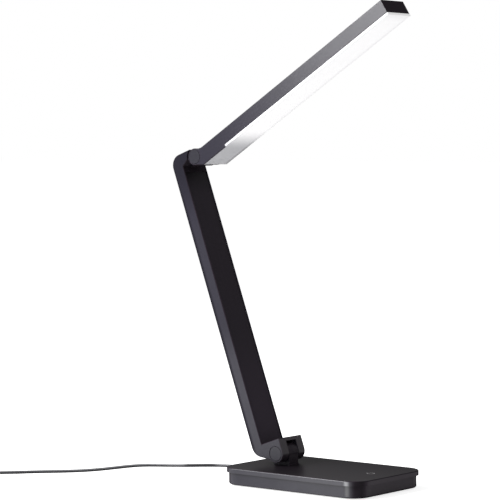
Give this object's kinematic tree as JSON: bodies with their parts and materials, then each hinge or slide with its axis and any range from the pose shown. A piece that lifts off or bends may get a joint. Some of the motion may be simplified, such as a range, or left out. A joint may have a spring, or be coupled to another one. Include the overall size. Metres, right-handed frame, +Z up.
{
  "type": "folding desk lamp",
  "caption": "Folding desk lamp: a weighted flat base with a touch switch, a swing arm and a slim light bar on friction hinges, with a lead and plug.",
  "frame": {"origin": "middle of the base's outline on the desk, at the level of the feet's undersides", "axes": "+X forward along the base's long side, the way the light bar reaches; +Y along both hinge axes; +Z up"},
  "size_m": [0.4493, 0.2982, 0.4438],
  "materials": {
    "shell_plastic": "fine-textured black",
    "tray_plastic": "fine-textured black",
    "cover_plastic": "smooth black",
    "cap_plastic": "satin black",
    "rubber": "matt black",
    "cord_jacket": "satin black jacket",
    "plug_metal": "bright plated sheet",
    "plug_insulator": "white moulded",
    "steel": "plain",
    "washer_plastic": "natural",
    "foam": "conductive foam",
    "board": "solder-resist green",
    "board_parts": "moulded",
    "wire": "insulated",
    "diffuser_plastic": "milky white",
    "led_board": "solder-resist white",
    "led": "phosphor yellow",
    "reflector": "white sheet"
  },
  "bodies": {
    "base": {"base_lid": "shell_plastic", "base_tray": "tray_plastic", "rubber_feet": "rubber", "base_screws": "steel", "ballast_plate": "steel", "hinge_knuckle": "shell_plastic", "knuckle_plate": "steel", "knuckle_screws": "steel", "touch_electrode": "foam", "control_board": "board", "board_parts": "board_parts", "board_screws": "steel", "cord_gland": "rubber", "supply_wire": "wire", "riser_wire": "wire", "cord_lead": "cord_jacket", "cord_coil": "cord_jacket", "cord_tail": "cord_jacket", "cord_tie": "rubber", "plug_grip": "cord_jacket", "plug_shell": "plug_metal", "plug_tongue": "plug_insulator"},
    "arm": {"arm_shell": "shell_plastic", "arm_front_cover": "cover_plastic", "arm_wire": "wire", "lower_hinge_pin": "steel", "lower_lock_nut": "steel", "lower_hinge_caps": "cap_plastic", "lower_friction_washers": "washer_plastic"},
    "head": {"head_shell": "shell_plastic", "diffuser": "diffuser_plastic", "led_board": "led_board", "leds": "led", "led_board_screws": "steel", "reflector": "reflector", "head_wire": "wire", "upper_hinge_pin": "steel", "upper_lock_nut": "steel", "upper_hinge_caps": "cap_plastic", "upper_friction_washers": "washer_plastic"}
  },
  "joints": [
    {"name": "arm_tilt", "type": "hinge", "parent": "base", "child": "arm", "pos_m": [-0.0415, 0, 0.0285], "axis": [0, 1, 0], "range_deg": [-10, 109]},
    {"name": "head_tilt", "type": "hinge", "parent": "arm", "child": "head", "pos_m": [-0.13883, 0, 0.30404], "axis": [0, 1, 0], "range_deg": [-70, 102]}
  ]
}
